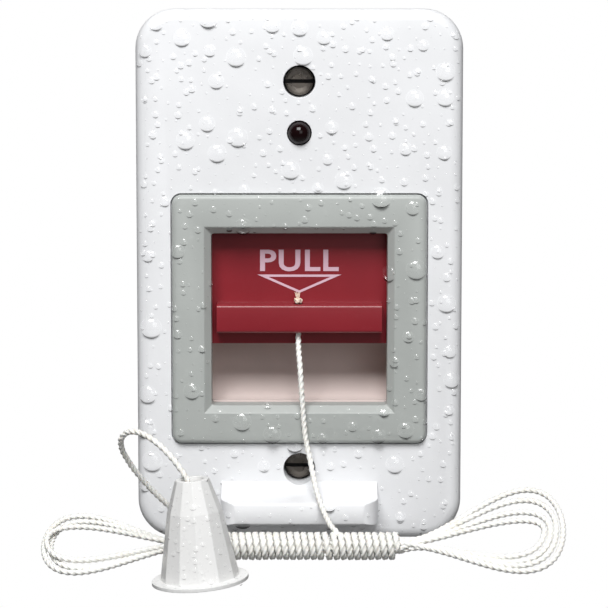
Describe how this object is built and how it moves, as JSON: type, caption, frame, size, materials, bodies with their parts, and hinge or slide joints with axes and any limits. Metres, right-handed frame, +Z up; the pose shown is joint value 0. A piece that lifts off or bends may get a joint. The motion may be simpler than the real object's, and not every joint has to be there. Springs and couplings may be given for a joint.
{
  "type": "pull cord switch",
  "caption": "Surface plate switch with a red pull slide in a grey bezel window, an indicator lamp, a cord shelf, and a white pull cord wound into a hank with a bell pendant.",
  "frame": {"origin": "bottom centre of the switch's bounding box without its cord, hank and bell, on the surface it stands on", "axes": "+Z up along the plate's long side, -Y out of the front face, +X to the right seen from the front"},
  "size_m": [0.1088, 0.0821, 0.1143],
  "materials": {
    "cover": "fine-textured moulded white plastic",
    "bezel": "satin blue-grey moulded plastic",
    "pull": "deep red satin moulded plastic",
    "tray": "smooth cream moulded plastic",
    "housing": "dark grey moulded plastic",
    "switch_black": "black moulded plastic",
    "terminal": "green moulded terminal plastic",
    "plunger": "red moulded plastic",
    "board": "green solder mask on glass laminate",
    "lamp": "clear deep-red moulded lens, unlit",
    "bell": "white moulded plastic, semi-gloss",
    "cord": "white twisted three-strand nylon",
    "seal": "black rubber",
    "foam": "closed-cell grey foam",
    "dark_steel": "darkened steel, turned",
    "plated_steel": "zinc-plated steel",
    "spring_steel": "rolled spring steel",
    "brass": "tinned brass pins"
  },
  "bodies": {
    "root": {"front_cover": "cover", "bezel_frame": "bezel", "window_seal": "seal", "slide_tray": "tray", "rear_housing": "housing", "wall_gasket": "foam", "circuit_board": "board", "switch_body": "switch_black", "switch_terminal_1": "brass", "switch_terminal_2": "brass", "switch_terminal_3": "brass", "terminal_block": "terminal", "terminal_screw_1": "plated_steel", "terminal_screw_2": "plated_steel", "terminal_screw_3": "plated_steel", "terminal_screw_4": "plated_steel", "lamp_lens": "lamp", "lamp_lead_left": "plated_steel", "lamp_lead_right": "plated_steel", "detent_spring_left": "spring_steel", "detent_spring_right": "spring_steel", "board_screw_left": "plated_steel", "board_screw_right": "plated_steel", "rear_screw_1": "plated_steel", "rear_screw_2": "plated_steel", "rear_screw_3": "plated_steel", "rear_screw_4": "plated_steel", "mounting_screw_top": "dark_steel", "mounting_screw_bottom": "dark_steel", "screw_seal_top": "seal", "screw_seal_bottom": "seal", "cord_drop": "cord", "cord_wrap": "cord", "cord_loops_right": "cord", "cord_loops_left": "cord", "cord_tail": "cord"},
    "slide": {"pull_slide": "pull", "slide_knot": "cord"},
    "lever": {"switch_lever": "spring_steel"},
    "plunger": {"switch_plunger": "plunger"},
    "bell": {"bell_pendant": "bell", "bell_knot": "cord"}
  },
  "joints": [
    {"name": "slide_pull", "type": "slide", "parent": "root", "child": "slide", "axis": [0, 0, -1], "range_m": [0, 0.011], "deforming": ["cord_drop", "detent_spring_left", "detent_spring_right"]},
    {"name": "lever_swing", "type": "hinge", "parent": "root", "child": "lever", "pos_m": [0.0079, 0.0025, 0.0569], "axis": [-1, 0, 0], "range_deg": [0, 10.4]},
    {"name": "plunger_press", "type": "slide", "parent": "root", "child": "plunger", "axis": [0, 1, 0], "range_m": [0, 0.0013]},
    {"name": "bell_lift", "type": "slide", "parent": "root", "child": "bell", "axis": [0, 0, 1], "range_m": [0, 0.015], "deforming": ["cord_tail"]}
  ],
  "couplings": [
    {"joint": "lever_swing", "follows": "slide_pull", "rad_per_m": 16.1},
    {"joint": "plunger_press", "follows": "slide_pull", "ratio": 0.102}
  ]
}
